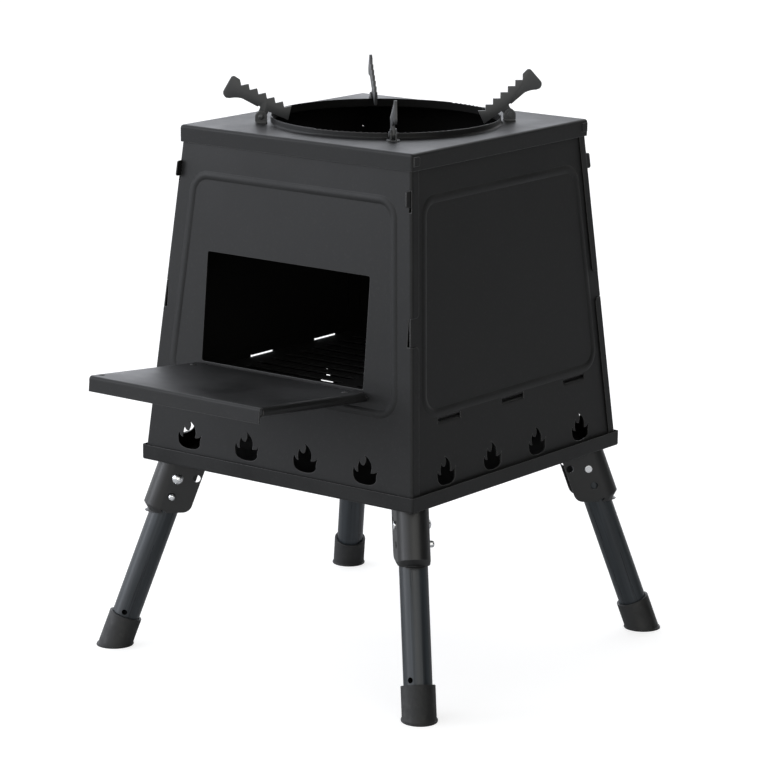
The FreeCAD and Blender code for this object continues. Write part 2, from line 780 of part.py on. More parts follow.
def make_strap_rivets():
    """Rivet that shows on the door above each strap."""
    rivets = []
    base = Vector(hinge_x, hinge_pin_out - strap_rivet_reach, hinge_knuckle_radius - hinge_strap)
    one = rivet(strap_rivet_diameter, hinge_strap + sheet, strap_rivet_head_diameter, strap_rivet_head_height,
                strap_rivet_head_diameter, strap_rivet_head_height)
    for side in (-1, 1):
        rivets.append(shifted(one, Vector(side * base.x, base.y, base.z)))
    return moved(Part.makeCompound(rivets), hinge_place())


def leg_place(name):
    """Frame of a leg: pivot at the origin, x outwards, z up along the tube."""
    lean = Placement(Vector(), Rotation(Y_AXIS, -leg_splay_deg))
    return corner_place(name, leg_pivot_radius, pivot_z).multiply(lean)


def channel(outer_reach, half_width, top, drop):
    """Filled channel of a leg bracket, half round on its outer side."""
    centre = outer_reach - half_width
    run = block((-bracket_inner_reach, centre), (-half_width, half_width), (-drop, top))
    return fuse([run, rod(2 * half_width, top + drop, Vector(centre, 0, -drop))])


def channel_taper(outer_reach, half_width):
    """Filled lower end of a bracket's back, drawn in from outer_reach to the tube and flared again."""
    ends = ((outer_reach, bracket_back_drop), (half_width, bracket_waist_drop),
            (half_width + bracket_lip_flare, bracket_lip_drop))
    wires = []
    for reach, drop in ends:
        centre = reach - half_width
        start = Vector(centre, -half_width, -drop)
        end = Vector(centre, half_width, -drop)
        wires.append(Part.Wire([arc(start, Vector(reach, 0, -drop), end), line(end, start)]))
    return Part.makeLoft(wires, True, True)


def make_leg_bracket():
    """Formed channel round a leg's pivot, closed by a web under the tray and cut level below."""
    inside = leg_diameter / 2 + bracket_side_play
    outside = inside + bracket_wall
    top = leg_pivot_drop + overrun
    shell = fuse([channel(bracket_back_reach, outside, top, bracket_back_drop),
                  channel_taper(bracket_back_reach, outside)])
    hollow = fuse([channel(bracket_back_reach - bracket_wall, inside, top + overrun, bracket_back_drop),
                   channel_taper(bracket_back_reach - bracket_wall, inside),
                   block((-2 * bracket_inner_reach, 0), (-inside, inside), (-bracket_lip_drop - overrun, top))])
    hollow = fuse([hollow, rod(2 * inside, bracket_lip_drop, Vector(0, 0, -2 * bracket_lip_drop))])
    bracket = shell.cut(hollow)
    sides = block((-bracket_inner_reach, 0), (inside, outside), (-bracket_lip_drop, -bracket_back_drop))
    bracket = fuse([bracket, sides, sides.mirror(Vector(), Y_AXIS)])
    lock_hole = button_diameter + 2 * button_hole_play
    fold = radians(leg_fold_deg)
    for x, z, diameter in ((0, 0, pivot_rivet_diameter + 2 * running_play), (0, -lock_radius, lock_hole),
                           (-lock_radius * sin(fold), -lock_radius * cos(fold), lock_hole)):
        bracket = bracket.cut(rod(diameter, 4 * outside, Vector(x, -2 * outside, z), Y_AXIS))
    lean = Placement(Vector(), Rotation(Y_AXIS, -leg_splay_deg))
    filled = moved(channel(bracket_back_reach, outside, top, bracket_back_drop), lean)
    span = (-tray_width, tray_width)
    web = filled.common(block(span, span, (leg_pivot_drop - bracket_wall, leg_pivot_drop)))
    bracket = moved(bracket, lean).common(block(span, span, (-bracket_foot_drop, leg_pivot_drop)))

    def is_low_corner(edge, box):
        at_foot = box.ZMax < sheet - bracket_foot_drop
        return at_foot and box.XMax < 0 and box.XLength < sheet and box.YLength > sheet

    bracket = fuse([fillet(bracket, bracket_corner_radius, is_low_corner), web])
    for reach in (-bracket_rivet_inner, bracket_rivet_outer):
        hole = rod(fixing_rivet_diameter + 2 * running_play, 2 * overrun, Vector(reach, 0, 0))
        bracket = bracket.cut(hole)
    return bracket


def make_bracket_rivets():
    one = rivet(fixing_rivet_diameter, bracket_wall + sheet, fixing_head_diameter, fixing_head_height,
                fixing_tail_diameter, fixing_tail_height)
    rivets = []
    for name in CORNERS:
        for reach in (-bracket_rivet_inner, bracket_rivet_outer):
            placed = shifted(one, Vector(reach, 0, -bracket_wall))
            rivets.append(moved(placed, corner_place(name, leg_pivot_radius, tray_z)))
    return Part.makeCompound(rivets)


def make_leg_pivot_rivets():
    outside = leg_diameter / 2 + bracket_side_play + bracket_wall
    one = rivet(pivot_rivet_diameter, 2 * outside, pivot_head_diameter, pivot_head_height,
                pivot_tail_diameter, pivot_tail_height)
    one = moved(one, Placement(Vector(0, -outside, 0), Rotation(X_AXIS, -90)))
    return Part.makeCompound([moved(one, leg_place(name)) for name in CORNERS])


def make_leg_tube(name):
    """Tube of a leg, open at both ends, with its pivot, button and drain holes."""
    length = leg_length - cap_sole
    outer = rod(leg_diameter, leg_top + length, Vector(0, 0, -length))
    inner = rod(leg_diameter - 2 * leg_wall, 2 * leg_length, Vector(0, 0, -length - overrun))
    span = (-leg_length, leg_length)
    level = Placement(Vector(0, 0, -leg_length), Rotation(Y_AXIS, leg_splay_deg))
    floor = moved(block(span, span, (-leg_length, cap_sole)), level)
    pivot_hole = pivot_rivet_diameter + 2 * running_play
    button_hole = button_diameter + 2 * running_play
    tube = outer.cut(inner).cut(floor)
    tube = tube.cut(rod(pivot_hole, 2 * leg_diameter, Vector(0, -leg_diameter, 0), Y_AXIS))
    tube = tube.cut(rod(button_hole, leg_diameter, Vector(0, 0, -lock_radius), Y_AXIS))
    turn = radians(drain_turn_by_leg_deg[name])
    height = cap_height + drain_hole_gap + drain_hole_diameter / 2 - leg_length
    drain = rod(drain_hole_diameter, leg_diameter, Vector(0, 0, height), Vector(cos(turn), sin(turn), 0))
    return tube.cut(drain)


def make_foot_cap():
    """Rubber cup on the end of a leg, cut level where it meets the floor."""
    outer = leg_diameter / 2 + cap_play + cap_wall
    cup = rod(2 * outer, cap_height + leg_length, Vector(0, 0, -2 * leg_length))
    cup = fillet(cup, cap_rim_radius, lambda edge, box: box.ZMin > -leg_length and box.ZLength < cap_play)
    level = Placement(Vector(0, 0, -leg_length), Rotation(Y_AXIS, leg_splay_deg))
    span = (-leg_length, leg_length)
    ground = moved(block(span, span, (-leg_length, 0)), level)
    sole = moved(block(span, span, (-leg_length, cap_sole)), level)
    rim = rod(2 * (outer + cap_flange), cap_height, Vector(0, 0, -leg_length - cap_height / 2))
    rim = rim.common(moved(block(span, span, (0, cap_flange_height)), level))
    bore = rod(leg_diameter + 2 * cap_play, leg_length, Vector(0, 0, -leg_length - outer)).cut(sole)
    return fuse([cup.cut(ground), rim]).cut(bore)


def button_tip():
    """How far a lock button reaches from the leg's axis."""
    return leg_diameter / 2 + bracket_side_play + bracket_wall + button_proud


def button_seat():
    """Outer face of a button's flange, just inside the tube."""
    bore = leg_diameter / 2 - leg_wall
    return sqrt(bore ** 2 - (button_flange_diameter / 2) ** 2) - button_flange_gap


def make_snap_button():
    """Round-ended lock button with a flange that stays inside the tube."""
    seat = button_seat()
    shank = rod(button_diameter, button_tip() - seat, Vector(0, 0, seat))
    shank = fillet(shank, button_diameter / 3, lambda edge, box: box.ZMin > seat + button_proud)
    flange = rod(button_flange_diameter, button_flange_height, Vector(0, 0, seat - button_flange_height))
    return moved(fuse([shank, flange]), Placement(Vector(0, 0, -lock_radius), Rotation(X_AXIS, -90)))


def make_snap_spring():
    """V-shaped leaf inside the tube: a pad behind the button, and a leg against the far wall."""
    near = button_seat() - button_flange_height
    bore = leg_diameter / 2 - leg_wall
    far = sqrt(bore ** 2 - (spring_width / 2) ** 2) - spring_gap
    pad_top = -lock_radius + spring_pad / 2
    pad_low = -lock_radius - spring_pad / 2
    tip = pad_top - spring_length
    points = [Vector(-spring_width / 2, near, pad_top), Vector(-spring_width / 2, near, pad_low),
              Vector(-spring_width / 2, 0, tip), Vector(-spring_width / 2, -far, pad_low)]
    return strip(points, spring_bend_radius, spring_thickness, X_AXIS * spring_width)


def make_pot_support():
    """Toothed arm, flat in the x-z plane: steps that stand level when the arm is raised."""
    tilt = radians(arm_tooth_tilt_deg)
    tread = arm_tooth_pitch * cos(tilt) - arm_tooth_rise * sin(tilt)
    riser = arm_tooth_pitch * sin(tilt) + arm_tooth_rise * cos(tilt)
    crest = Vector(-arm_crest_reach, 0, arm_bar_high)
    steps = [crest]
    for _ in range(arm_tooth_count):
        hollow = crest + Vector(tread * cos(tilt), 0, -tread * sin(tilt))
        crest = hollow + Vector(riser * sin(tilt), 0, riser * cos(tilt))
        steps += [hollow, crest]
    bulb = Vector(arm_bulb_reach, 0, arm_bulb_height)
    bulb_out = bulb + X_AXIS * arm_bulb_radius
    bulb_low = bulb - Z_AXIS * arm_bulb_radius
    bulb_mid = bulb + Vector(1, 0, -1).normalize() * arm_bulb_radius
    bulb_in = bulb + Vector(-sin(tilt), 0, -cos(tilt)) * arm_bulb_radius
    arch = Vector(arm_arch_reach, 0, arm_arch_height)
    arch_mid = (bulb_in + arch) / 2 + Z_AXIS * arm_arch_rise
    tip = Vector(arm_tip_reach, 0, arm_tip_height)
    tip_start, tip_mid, tip_end = corner_arc(tip, steps[-1], bulb_out, arm_tip_radius)
    corners = steps + [tip_start]
    inner = [arch, Vector(arm_notch_reach, 0, arm_bar_low), Vector(-arm_inner_reach, 0, arm_bar_low), steps[0]]
    edges = [line(start, end) for start, end in zip(corners, corners[1:])]
    edges += [arc(tip_start, tip_mid, tip_end), line(tip_end, bulb_out)]
    edges += [arc(bulb_out, bulb_mid, bulb_low), line(bulb_low, bulb_in), arc(bulb_in, arch_mid, arch)]
    edges += [line(start, end) for start, end in zip(inner, inner[1:])]
    run = Y_AXIS * arm_thickness
    bar = Part.Face(Part.Wire(edges)).extrude(run)
    ear = block((-arm_boss_radius, arm_boss_radius), (0, arm_thickness), (0, arm_bar_low + arm_tooth_rise))
    boss = rod(2 * arm_boss_radius, arm_thickness, Vector(), Y_AXIS)
    arm = fuse([bar, ear, boss])
    start = -arm_thickness / 2
    notch = rod(arm_notch_width, 2 * arm_thickness, Vector(arm_notch_reach, start, arm_bar_low), Y_AXIS)
    pin_hole = rod(arm_pin_diameter + 2 * running_play, 2 * arm_thickness, Vector(0, start, 0), Y_AXIS)
    arm = arm.cut(notch).cut(pin_hole)
    return shifted(arm, -Y_AXIS * (arm_thickness / 2))


def make_clevis():
    """Two-eared bracket of a pot support, standing on the lid with its pin's axis at the origin."""
    inside = arm_thickness / 2 + clevis_side_play
    outside = inside + clevis_wall
    foot = -arm_pivot_height
    half = clevis_length / 2
    path = [Vector(-half, -outside, clevis_top_radius), Vector(-half, -outside, foot),
            Vector(-half, outside, foot), Vector(-half, outside, clevis_top_radius)]
    outline = fuse([
        rod(2 * clevis_top_radius, 2 * outside, Vector(0, -outside, 0), Y_AXIS),
        block((-half, half), (-outside, outside), (foot, 0)),
    ])
    ears = strip(path, clevis_bend_radius, clevis_wall, X_AXIS * clevis_length).common(outline)
    wide = clevis_base_width / 2
    base = block((-half, half), (-wide, wide), (foot, foot + clevis_wall))
    base = fillet(base, clevis_bend_radius, lambda edge, box: box.ZLength > clevis_wall / 2)
    clevis = fuse([ears, base])
    pin_hole = rod(arm_pin_diameter + 2 * running_play, 4 * outside, Vector(0, -2 * outside, 0), Y_AXIS)
    return clevis.cut(pin_hole)


def make_arm_pins():
    outside = arm_thickness / 2 + clevis_side_play + clevis_wall
    pin = rivet(arm_pin_diameter, 2 * outside, arm_pin_head_diameter, arm_pin_head_height,
                arm_pin_head_diameter, arm_pin_head_height)
    pin = moved(pin, Placement(Vector(0, -outside, 0), Rotation(X_AXIS, -90)))
    return Part.makeCompound([moved(pin, arm_place(name)) for name in CORNERS])


def arm_place(name):
    """Pivot of a pot support: on its corner's diagonal, then turned a little round the hole."""
    turn = Placement(Vector(), Rotation(Z_AXIS, -arm_turn_deg[name]))
    return turn.multiply(corner_place(name, arm_pivot_radius, lid_z + arm_pivot_height))


nodes = {
    "base_tray": make_base_tray(),
    "front_panel": make_front_panel(),
    "rear_panel": make_end_panel(180),
    "left_panel": make_side_panel(-1),
    "right_panel": make_side_panel(1),
    "grate": make_grate(),
    "lid": make_lid(),
    "door": make_door(),
    "door_hinge_straps": make_hinge_straps(),
    "door_hinge_pins": make_hinge_pins(),
    "door_strap_rivets": make_strap_rivets(),
    "bracket_rivets": make_bracket_rivets(),
    "leg_pivot_rivets": make_leg_pivot_rivets(),
    "pot_support_pins": make_arm_pins(),
}
leg_bracket = make_leg_bracket()
foot_cap = make_foot_cap()
snap_button = make_snap_button()
snap_spring = make_snap_spring()
pot_support = make_pot_support()
clevis = make_clevis()
for name in CORNERS:
    nodes["leg_bracket_" + name] = moved(leg_bracket, corner_place(name, leg_pivot_radius, pivot_z))
    nodes["leg_tube_" + name] = moved(make_leg_tube(name), leg_place(name))
    nodes["foot_cap_" + name] = moved(foot_cap, leg_place(name))
    nodes["snap_button_" + name] = moved(snap_button, leg_place(name))
    nodes["snap_spring_" + name] = moved(snap_spring, leg_place(name))
    nodes["pot_support_" + name] = moved(turned(pot_support, -arm_rest_deg[name], Y_AXIS), arm_place(name))
    nodes["pot_support_bracket_" + name] = moved(clevis, arm_place(name))

os.makedirs("parts", exist_ok=True)
for name, shape in nodes.items():
    shape.exportStep("parts/" + name + ".step")
    print(name, len(shape.Solids), shape.isValid(), round(shape.Volume, 1))
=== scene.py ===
import json
import math

import bpy
from mathutils import Matrix, Vector


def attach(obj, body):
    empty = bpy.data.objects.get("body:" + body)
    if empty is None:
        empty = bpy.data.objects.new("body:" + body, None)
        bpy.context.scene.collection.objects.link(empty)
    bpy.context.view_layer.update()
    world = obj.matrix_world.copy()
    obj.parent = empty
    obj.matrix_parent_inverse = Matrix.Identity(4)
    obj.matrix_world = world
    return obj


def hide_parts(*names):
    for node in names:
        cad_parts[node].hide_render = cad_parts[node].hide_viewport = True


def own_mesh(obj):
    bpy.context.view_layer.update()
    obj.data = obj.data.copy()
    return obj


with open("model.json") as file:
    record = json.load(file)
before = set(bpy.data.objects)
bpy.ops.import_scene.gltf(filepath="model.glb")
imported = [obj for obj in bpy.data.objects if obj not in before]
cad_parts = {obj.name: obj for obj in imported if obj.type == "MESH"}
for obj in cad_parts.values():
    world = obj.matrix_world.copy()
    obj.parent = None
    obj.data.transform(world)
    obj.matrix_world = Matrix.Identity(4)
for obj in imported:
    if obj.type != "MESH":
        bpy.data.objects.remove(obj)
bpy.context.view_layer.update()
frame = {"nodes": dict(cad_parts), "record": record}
bpy.ops.object.select_all(action="DESELECT")
stove = frame["nodes"]

# Sizes are in metres and angles in degrees

# Legs: the way each one leans out, its splay from upright, how far out its pivot is, and its tube
LEG_TURNS = {"front_left": 225, "front_right": 315, "rear_right": 45, "rear_left": 135}
LEG_SPLAY = 20
LEG_PIVOT_RADIUS = 0.1875
LEG_LENGTH = 0.167
TUBE_RADIUS = 0.0125

# Rubber feet: the cup and its bore, the sole under the tube, and the thin flange round the sole
FOOT_RADIUS = 0.015
FOOT_HEIGHT = 0.030
FOOT_SIDES = 72
FOOT_BORE_PLAY = 0.0001
FOOT_SOLE = 0.007
FOOT_FLANGE = 0.0009
FOOT_FLANGE_HEIGHT = 0.0016
FOOT_ROUNDING = 0.00045

# Lock springs: how far the leaf's edges are rounded
SPRING_ROUNDING = 0.00012

# Toothed pot supports
ARM_ROUNDING = 0.0004

# Meshes: how near points are merged, how flat faces are joined, and how sharp an edge stays sharp
MERGE_DISTANCE = 0.000002
FLAT_ANGLE = 0.5
SMOOTH_ANGLE = 35

# The steps of a rounded edge, and how far up or down the normal of a level face points
ROUNDING_STEPS = 2
LEVEL = 0.9

# Patterns: the share of its length that one keeps along a tube, and the fine texture of plating
TUBE_PATTERN_SHARE = 0.03
PLATING_GRAIN_SCALE = 2600
PLATING_CLOUD_SCALE = 180
PLATING_DEPTH = 0.000004


# Shader building

def shader_node(tree, kind, settings=None, **values):
    """Adds a node, with its settings and the values of its input sockets."""
    made = tree.nodes.new(kind)
    for name, value in (settings or {}).items():
        setattr(made, name, value)
    for name, value in values.items():
        made.inputs[name.replace("_", " ")].default_value = value
    return made


def wire(tree, source, target):
    tree.links.new(source, target)


def effect(name, inputs, outputs):
    """New shader node group with named sockets, and its two end nodes."""
    tree = bpy.data.node_groups.new(name, "ShaderNodeTree")
    for label, kind, value in inputs:
        socket = tree.interface.new_socket(label, in_out="INPUT", socket_type=kind)
        socket.default_value = value
    for label, kind in outputs:
        tree.interface.new_socket(label, in_out="OUTPUT", socket_type=kind)
    return tree, tree.nodes.new("NodeGroupInput"), tree.nodes.new("NodeGroupOutput")


def blend_colour(tree, factor, first, second):
    mix = shader_node(tree, "ShaderNodeMix", {"data_type": "RGBA"})
    wire(tree, factor, mix.inputs[0])
    for socket, colour in ((mix.inputs[6], first), (mix.inputs[7], second)):
        if isinstance(colour, tuple):
            socket.default_value = colour
        else:
            wire(tree, colour, socket)
    return mix.outputs[2]


def spread(tree, value, low, high, to_low, to_high):
    """Maps value from low..high to two sockets or numbers."""
    ramp = shader_node(tree, "ShaderNodeMapRange", From_Min=low, From_Max=high)
    wire(tree, value, ramp.inputs["Value"])
    for name, target in (("To Min", to_low), ("To Max", to_high)):
        if isinstance(target, (int, float)):
            ramp.inputs[name].default_value = target
        else:
            wire(tree, target, ramp.inputs[name])
    return ramp.outputs["Result"]


def combine(tree, operation, first, second):
    """Maths on a socket and a socket or number."""
    maths = shader_node(tree, "ShaderNodeMath", {"operation": operation})
    wire(tree, first, maths.inputs[0])
    if isinstance(second, (int, float)):
        maths.inputs[1].default_value = second
    else:
        wire(tree, second, maths.inputs[1])
    return maths.outputs[0]


def make_coating_effect():
    """Sprayed coating: soft cloudiness in tone and gloss, pale specks of dust, and a fine sandy grain."""
    tree, enter, leave = effect(
        "sprayed_coating",
        [("Place", "NodeSocketVector", (0, 0, 0)),
         ("Colour", "NodeSocketColor", (0.03, 0.03, 0.03, 1)),
         ("Pale", "NodeSocketColor", (0.04, 0.04, 0.04, 1)),
         ("Grain Scale", "NodeSocketFloat", 1500),
         ("Cloud Scale", "NodeSocketFloat", 14),
         ("Smooth", "NodeSocketFloat", 0.4),
         ("Rough", "NodeSocketFloat", 0.6)],
        [("Colour", "NodeSocketColor"), ("Roughness", "NodeSocketFloat"), ("Height", "NodeSocketFloat")])
    cloud = shader_node(tree, "ShaderNodeTexNoise", Detail=4, Roughness=0.6)
    grain = shader_node(tree, "ShaderNodeTexNoise", Detail=2, Roughness=0.5)
    speck = shader_node(tree, "ShaderNodeTexNoise", Scale=420, Detail=1)
    for texture, scale in ((cloud, "Cloud Scale"), (grain, "Grain Scale"), (speck, None)):
        wire(tree, enter.outputs["Place"], texture.inputs["Vector"])
        if scale:
            wire(tree, enter.outputs[scale], texture.inputs["Scale"])
    clouds = spread(tree, cloud.outputs["Fac"], low=0.3, high=0.7, to_low=0.0, to_high=0.75)
    specks = spread(tree, speck.outputs["Fac"], low=0.58, high=0.72, to_low=0.0, to_high=0.35)
    paleness = combine(tree, "ADD", clouds, specks)
    tone = blend_colour(tree, paleness, enter.outputs["Colour"], enter.outputs["Pale"])
    gloss = spread(tree, cloud.outputs["Fac"], low=0.3, high=0.7,
                   to_low=enter.outputs["Smooth"], to_high=enter.outputs["Rough"])
    wire(tree, tone, leave.inputs["Colour"])
    wire(tree, gloss, leave.inputs["Roughness"])
    wire(tree, grain.outputs["Fac"], leave.inputs["Height"])
    return tree


def make_edge_effect():
    """Rounded-over edges: a softened normal, and a mask along sharp edges for a painted highlight."""
    tree, enter, leave = effect(
        "rounded_edge_highlight", [("Width", "NodeSocketFloat", 0.0006)],
        [("Mask", "NodeSocketFloat"), ("Normal", "NodeSocketVector")])
    soft = shader_node(tree, "ShaderNodeBevel", {"samples": 6})
    wire(tree, enter.outputs["Width"], soft.inputs["Radius"])
    surface = shader_node(tree, "ShaderNodeNewGeometry")
    match = shader_node(tree, "ShaderNodeVectorMath", {"operation": "DOT_PRODUCT"})
    wire(tree, soft.outputs["Normal"], match.inputs[0])
    wire(tree, surface.outputs["Normal"], match.inputs[1])
    sharpness = spread(tree, match.outputs["Value"], low=0.995, high=0.86, to_low=0.0, to_high=1.0)
    wire(tree, sharpness, leave.inputs["Mask"])
    wire(tree, soft.outputs["Normal"], leave.inputs["Normal"])
    return tree


def make_firebox_effect():
    """Mask for painted shade: faces that look in towards the fire, and those that look up where Floor is 1.
    """
    tree, enter, leave = effect(
        "firebox_shade_mask", [("Floor", "NodeSocketFloat", 0)], [("Mask", "NodeSocketFloat")])
    place = shader_node(tree, "ShaderNodeTexCoord")
    flat = shader_node(tree, "ShaderNodeVectorMath", {"operation": "MULTIPLY"})
    flat.inputs[1].default_value = (1, 1, 0)
    wire(tree, place.outputs["Object"], flat.inputs[0])
    outward = shader_node(tree, "ShaderNodeVectorMath", {"operation": "NORMALIZE"})
    wire(tree, flat.outputs["Vector"], outward.inputs[0])
    facing = shader_node(tree, "ShaderNodeVectorMath", {"operation": "DOT_PRODUCT"})
    wire(tree, outward.outputs["Vector"], facing.inputs[0])
    wire(tree, place.outputs["Normal"], facing.inputs[1])
    walls = spread(tree, facing.outputs["Value"], low=-0.1, high=-0.5, to_low=0.0, to_high=1.0)
    normal = shader_node(tree, "ShaderNodeSeparateXYZ")
    wire(tree, place.outputs["Normal"], normal.inputs["Vector"])
    floor = spread(tree, normal.outputs["Z"], low=0.5, high=0.9, to_low=0.0, to_high=enter.outputs["Floor"])
    wire(tree, combine(tree, "MAXIMUM", walls, floor), leave.inputs["Mask"])
    return tree


sprayed_coating = make_coating_effect()
rounded_edge_highlight = make_edge_effect()
firebox_shade_mask = make_firebox_effect()


def new_material(name):
    material = bpy.data.materials.new(name)
    material.use_nodes = True
    tree = material.node_tree
    return material, tree, tree.nodes["Principled BSDF"]


def use_effect(tree, group, **values):
    return shader_node(tree, "ShaderNodeGroup", {"node_tree": group}, **values)


def object_place(tree):
    return shader_node(tree, "ShaderNodeTexCoord").outputs["Object"]


def along_leg(turn):
    """Coordinates of one leg, drawn out along its tube so that a pattern runs lengthwise."""

    def place(tree):
        swing = shader_node(tree, "ShaderNodeMapping", Rotation=(0, 0, math.radians(-turn)))
        lean = shader_node(tree, "ShaderNodeMapping", Rotation=(0, math.radians(LEG_SPLAY), 0))
        draw = shader_node(tree, "ShaderNodeMapping", Scale=(1, 1, TUBE_PATTERN_SHARE))
        wire(tree, object_place(tree), swing.inputs["Vector"])
        wire(tree, swing.outputs["Vector"], lean.inputs["Vector"])
        wire(tree, lean.outputs["Vector"], draw.inputs["Vector"])
        return draw.outputs["Vector"]

    return place


def add_bump(tree, surface, height, depth, normal=None):
    bump = shader_node(tree, "ShaderNodeBump", Strength=1.0, Distance=depth)
    wire(tree, height, bump.inputs["Height"])
    if normal:
        wire(tree, normal, bump.inputs["Normal"])
    wire(tree, bump.outputs["Normal"], surface.inputs["Normal"])


def coated_piece(name, colour, pale, edge, gloss, grain_scale, grain_depth, edge_width,
                 specular=0.5, inner_shade=None, floor=0, cloud_scale=14, place=object_place):
    """Painted or moulded surface: grain, painted edge highlights, and painted shade in the firebox if given.
    """
    material, tree, surface = new_material(name)
    smooth, rough = gloss
    coat = use_effect(tree, sprayed_coating, Colour=colour, Pale=pale, Smooth=smooth, Rough=rough,
                      Grain_Scale=grain_scale, Cloud_Scale=cloud_scale)
    wire(tree, place(tree), coat.inputs["Place"])
    rim = use_effect(tree, rounded_edge_highlight, Width=edge_width)
    # Painted highlight: sharp edges take the paler edge colour, as though their rounding caught the light
    tone = blend_colour(tree, rim.outputs["Mask"], coat.outputs["Colour"], edge)
    roughness = coat.outputs["Roughness"]
    # Painted shade: faces within the firebox take a far darker colour, not soot
    if inner_shade:
        side = use_effect(tree, firebox_shade_mask, Floor=floor)
        tone = blend_colour(tree, side.outputs["Mask"], tone, inner_shade)
        roughness = combine(tree, "MAXIMUM", roughness, side.outputs["Mask"])
    wire(tree, tone, surface.inputs["Base Color"])
    wire(tree, roughness, surface.inputs["Roughness"])
    surface.inputs["Specular IOR Level"].default_value = specular
    add_bump(tree, surface, coat.outputs["Height"], grain_depth, rim.outputs["Normal"])
    return material


def plated_metal(name, colour, pale, gloss):
    """Bright plated steel with faint cloudiness."""
    material, tree, surface = new_material(name)
    smooth, rough = gloss
    coat = use_effect(tree, sprayed_coating, Colour=colour, Pale=pale, Smooth=smooth, Rough=rough,
                      Grain_Scale=PLATING_GRAIN_SCALE, Cloud_Scale=PLATING_CLOUD_SCALE)
    wire(tree, object_place(tree), coat.inputs["Place"])
    wire(tree, coat.outputs["Colour"], surface.inputs["Base Color"])
    wire(tree, coat.outputs["Roughness"], surface.inputs["Roughness"])
    surface.inputs["Metallic"].default_value = 1.0
    add_bump(tree, surface, coat.outputs["Height"], PLATING_DEPTH)
    return material


def grey(value, blue=0.0):
    return (value, value * (1 + blue / 2), value * (1 + blue), 1)


# Finishes

# Each edge colour is paler than its paint: a painted highlight along sharp edges
sheet_paint = {
    "colour": grey(0.008, 0.04), "pale": grey(0.019, 0.04), "edge": grey(0.11), "gloss": (0.40, 0.56),
    "grain_scale": 1500, "grain_depth": 0.00003, "edge_width": 0.0008, "specular": 0.28,
}
# The far darker inner colours are painted shade within the firebox and on the tray's floor, not soot
stove_paint = coated_piece("matte_stove_paint", inner_shade=grey(0.0015), **sheet_paint)
tray_paint = coated_piece("tray_paint_with_painted_shade", inner_shade=grey(0.0012), floor=1, **sheet_paint)
bracket_paint = coated_piece(
    "satin_bracket_paint", colour=grey(0.009, 0.08), pale=grey(0.012, 0.08), edge=grey(0.05),
    gloss=(0.34, 0.44), grain_scale=1500, grain_depth=0.00002, edge_width=0.0006, specular=0.55)
support_paint = coated_piece(
    "satin_support_paint", colour=grey(0.045, 0.06), pale=grey(0.058, 0.06), edge=grey(0.10),
    gloss=(0.34, 0.44), grain_scale=1700, grain_depth=0.00002, edge_width=0.0005)
grate_paint = coated_piece(
    "grate_paint", colour=grey(0.004), pale=grey(0.007), edge=grey(0.02),
    gloss=(0.6, 0.75), grain_scale=1300, grain_depth=0.00003, edge_width=0.0006, specular=0.3)
foot_rubber = coated_piece(
    "foot_rubber", colour=grey(0.007, 0.08), pale=grey(0.019, 0.08), edge=grey(0.030, 0.06),
    gloss=(0.48, 0.74), grain_scale=300, grain_depth=0.00025, edge_width=0.0008, cloud_scale=110)
bright_zinc = plated_metal(
    "bright_zinc", colour=grey(0.86, 0.03), pale=grey(0.94, 0.03), gloss=(0.20, 0.32))
spring_steel = plated_metal(
    "spring_steel", colour=grey(0.36, 0.02), pale=grey(0.46, 0.02), gloss=(0.28, 0.42))


def make_tube_paint(corner):
    return coated_piece(
        "satin_tube_paint_" + corner, colour=grey(0.012, 0.45), pale=grey(0.036, 0.45), edge=grey(0.06, 0.1),
        gloss=(0.24, 0.42), grain_scale=900, grain_depth=0.00002, edge_width=0.0004, cloud_scale=190,
        place=along_leg(LEG_TURNS[corner]))


tube_paints = {corner: make_tube_paint(corner) for corner in LEG_TURNS}
finish_of_slot = {
    "black_paint": stove_paint,
    "grate_paint": grate_paint,
    "zinc": bright_zinc,
    "spring_steel": spring_steel,
    "rubber": foot_rubber,
}


def finish_of(node, slot):
    if node.startswith("leg_tube_"):
        return tube_paints[node.removeprefix("leg_tube_")]
    if node.startswith("leg_bracket_"):
        return bracket_paint
    if node == "base_tray":
        return tray_paint
    if node.startswith("pot_support"):
        return support_paint
    return finish_of_slot[slot]


for subpart in frame["record"]["subparts"]:
    for slot in stove[subpart["node"]].material_slots:
        slot.material = finish_of(subpart["node"], subpart["material_slot"])


# Pieces shaped by hand

def only(piece):
    """Makes piece the one selected and active object."""
    bpy.ops.object.select_all(action="DESELECT")
    piece.select_set(True)
    bpy.context.view_layer.objects.active = piece


def pick_faces(piece, chosen):
    """In edit mode, selects the faces of piece that are chosen."""
    bpy.ops.mesh.select_mode(type="FACE")
    bpy.ops.mesh.select_all(action="DESELECT")
    bpy.ops.object.mode_set(mode="OBJECT")
    for face in piece.data.polygons:
        face.select = chosen(face)
    bpy.ops.object.mode_set(mode="EDIT")


def cut_level(height, **ends):
    """In edit mode, cuts the whole piece along a level plane."""
    bpy.ops.mesh.select_all(action="SELECT")
    bpy.ops.mesh.bisect(plane_co=(0, 0, height), plane_no=(0, 0, 1), **ends)


def settle(piece):
    """Puts a piece's place into its mesh, and leaves its object at the origin."""
    only(piece)
    bpy.ops.object.transform_apply(location=True, rotation=True, scale=True)


def round_over(piece, width, sharper_than):
    """Bevels the edges of piece that are sharper than the angle, and smooths it."""
    only(piece)
    edge = piece.modifiers.new("rounded_edges", "BEVEL")
    edge.width = width
    edge.segments = ROUNDING_STEPS
    edge.limit_method = "ANGLE"
    edge.angle_limit = math.radians(sharper_than)
    bpy.ops.object.modifier_apply(modifier=edge.name)
    bpy.ops.object.shade_smooth_by_angle(angle=math.radians(SMOOTH_ANGLE))


def own_copy(original, name):
    """Copy of an object, with a mesh of its own."""
    piece = original.copy()
    piece.data = original.data.copy()
    piece.name = name
    bpy.context.scene.collection.objects.link(piece)
    return piece


